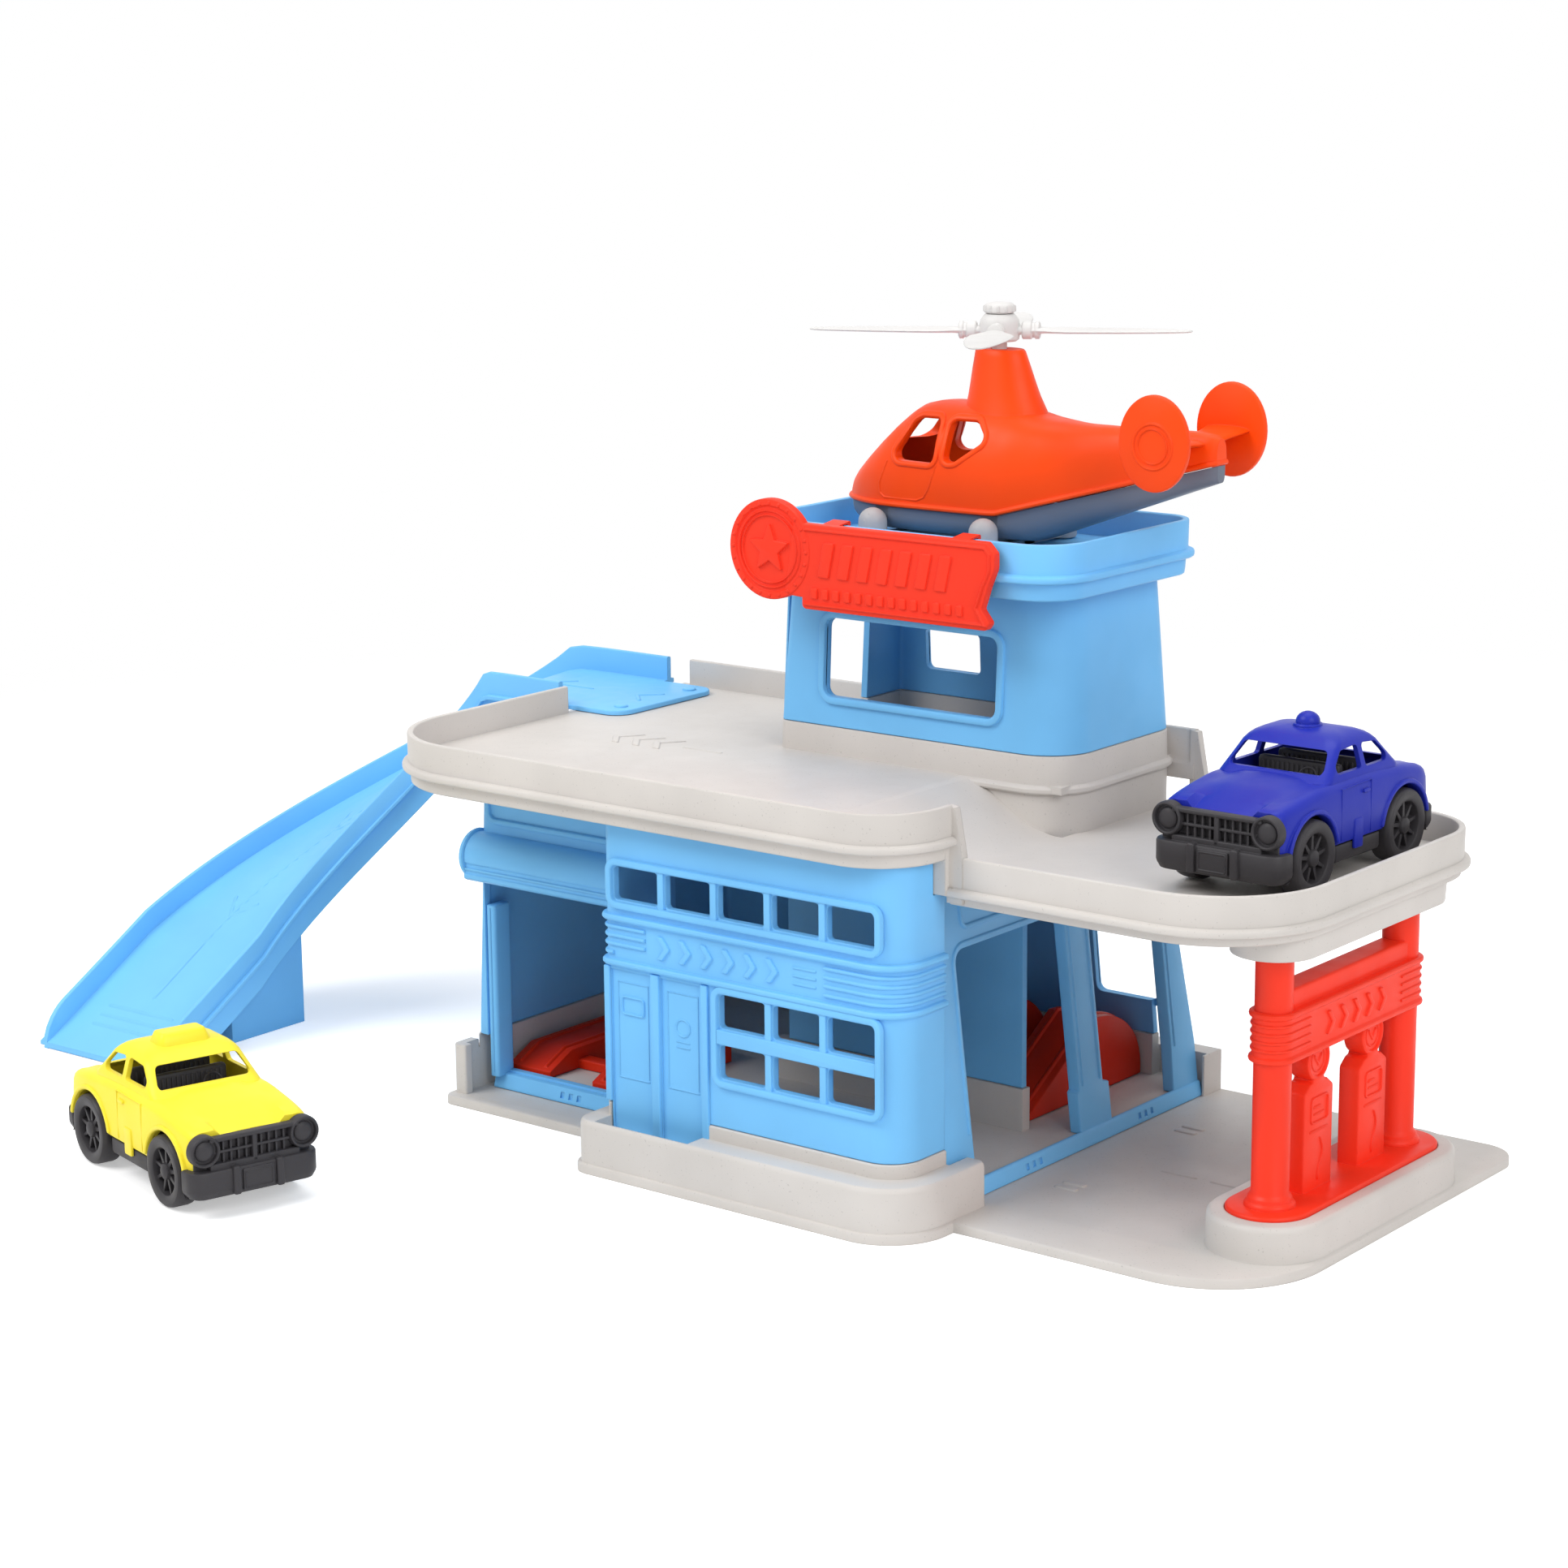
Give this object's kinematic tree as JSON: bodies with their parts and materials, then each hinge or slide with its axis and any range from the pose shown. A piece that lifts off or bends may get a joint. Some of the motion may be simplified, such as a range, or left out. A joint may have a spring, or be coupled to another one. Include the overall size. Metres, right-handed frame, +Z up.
{
  "type": "toy parking garage playset",
  "caption": "Toy parking garage with service bays, sloping roof deck, curved exit ramp, fuel island and tower landing pad, with a helicopter and toy cars.",
  "frame": {"origin": "middle of the ground moulding's footprint, on the floor", "axes": "+X along the front to the right, +Y to the back, +Z up"},
  "size_m": [0.5931, 0.3697, 0.3318],
  "materials": {
    "gray_plastic": "satin moulded",
    "sky_plastic": "satin moulded",
    "red_orange_plastic": "satin moulded",
    "red_plastic": "satin moulded",
    "orange_plastic": "satin moulded",
    "slate_plastic": "satin moulded",
    "silver_plastic": "satin moulded",
    "pale_plastic": "satin moulded",
    "blue_plastic": "satin moulded",
    "yellow_plastic": "satin moulded",
    "dark_plastic": "satin moulded"
  },
  "bodies": {
    "garage": {"base_tray": "gray_plastic", "garage_walls": "sky_plastic", "bay_frame": "sky_plastic", "left_bay_frame": "sky_plastic", "partition_wall": "sky_plastic", "upper_deck": "gray_plastic", "tower_walls": "sky_plastic", "helipad_tray": "sky_plastic", "sign_board": "red_orange_plastic", "exit_ramp": "sky_plastic", "pump_frame": "red_orange_plastic", "service_ramp_left": "red_plastic", "service_ramp_right": "red_plastic"},
    "helicopter": {"heli_fuselage": "orange_plastic", "heli_hull": "slate_plastic", "heli_landing_gear": "silver_plastic"},
    "rotor": {"heli_rotor": "pale_plastic", "heli_rotor_cap": "pale_plastic"},
    "blue_car": {"blue_car_body": "blue_plastic", "blue_car_chassis": "dark_plastic", "blue_car_seats": "dark_plastic"},
    "blue_car_front_wheels": {"blue_car_front_axle": "dark_plastic", "blue_car_wheel_fl": "dark_plastic", "blue_car_wheel_fr": "dark_plastic"},
    "blue_car_rear_wheels": {"blue_car_rear_axle": "dark_plastic", "blue_car_wheel_rl": "dark_plastic", "blue_car_wheel_rr": "dark_plastic"},
    "yellow_car": {"yellow_car_body": "yellow_plastic", "yellow_car_chassis": "dark_plastic", "yellow_car_seats": "dark_plastic"},
    "yellow_car_front_wheels": {"yellow_car_front_axle": "dark_plastic", "yellow_car_wheel_fl": "dark_plastic", "yellow_car_wheel_fr": "dark_plastic"},
    "yellow_car_rear_wheels": {"yellow_car_rear_axle": "dark_plastic", "yellow_car_wheel_rl": "dark_plastic", "yellow_car_wheel_rr": "dark_plastic"}
  },
  "joints": [
    {"name": "helicopter_lift", "type": "slide", "parent": "garage", "child": "helicopter", "axis": [0, 0, 1], "range_m": [0, 0.12]},
    {"name": "rotor_spin", "type": "hinge", "parent": "helicopter", "child": "rotor", "pos_m": [-0.009, 0.051, 0.322], "axis": [0, 0, 1], "continuous": true},
    {"name": "blue_car_drive", "type": "slide", "parent": "garage", "child": "blue_car", "axis": [-0.0175, -0.9998, 0], "range_m": [-0.008, 0.02]},
    {"name": "blue_car_front_roll", "type": "hinge", "parent": "blue_car", "child": "blue_car_front_wheels", "pos_m": [0.14893, -0.01384, 0.145], "axis": [0.9998, -0.0175, 0], "continuous": true},
    {"name": "blue_car_rear_roll", "type": "hinge", "parent": "blue_car", "child": "blue_car_rear_wheels", "pos_m": [0.15007, 0.05185, 0.145], "axis": [0.9998, -0.0175, 0], "continuous": true},
    {"name": "yellow_car_drive", "type": "slide", "parent": "garage", "child": "yellow_car", "axis": [0.9613, -0.2756, 0], "range_m": [-0.03, 0.08]},
    {"name": "yellow_car_front_roll", "type": "hinge", "parent": "yellow_car", "child": "yellow_car_front_wheels", "pos_m": [-0.18392, -0.21705, 0.0142], "axis": [0.2756, 0.9613, 0], "continuous": true},
    {"name": "yellow_car_rear_roll", "type": "hinge", "parent": "yellow_car", "child": "yellow_car_rear_wheels", "pos_m": [-0.24708, -0.19895, 0.0142], "axis": [0.2756, 0.9613, 0], "continuous": true}
  ],
  "couplings": [
    {"joint": "blue_car_front_roll", "follows": "blue_car_drive", "rad_per_m": 70.422},
    {"joint": "blue_car_rear_roll", "follows": "blue_car_drive", "rad_per_m": 70.422},
    {"joint": "yellow_car_front_roll", "follows": "yellow_car_drive", "rad_per_m": 70.422},
    {"joint": "yellow_car_rear_roll", "follows": "yellow_car_drive", "rad_per_m": 70.422}
  ]
}
